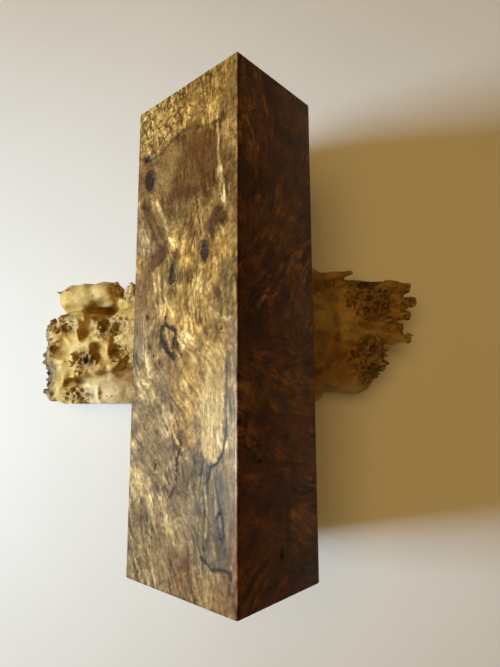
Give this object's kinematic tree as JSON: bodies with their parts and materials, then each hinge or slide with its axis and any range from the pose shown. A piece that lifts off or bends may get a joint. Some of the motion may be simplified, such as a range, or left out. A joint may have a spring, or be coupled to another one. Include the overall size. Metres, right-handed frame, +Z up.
{
  "type": "amboyna burl blank on a raw burl stand",
  "caption": "Squared, polished amboyna burl blank resting on edge in the groove of a raw piece of the same burl with bowls, knobs and spikes.",
  "frame": {"origin": "on the table, under the blank's upper edge and midway along the blank", "axes": "+Z up, +Y along the blank towards its far end, +X to the right across it, along the stand"},
  "size_m": [0.12, 0.13, 0.0593],
  "materials": {
    "polished_burl": "satin",
    "raw_burl": "raw"
  },
  "bodies": {
    "root": {"burl_block": "polished_burl", "burl_stand": "raw_burl"}
  },
  "joints": []
}
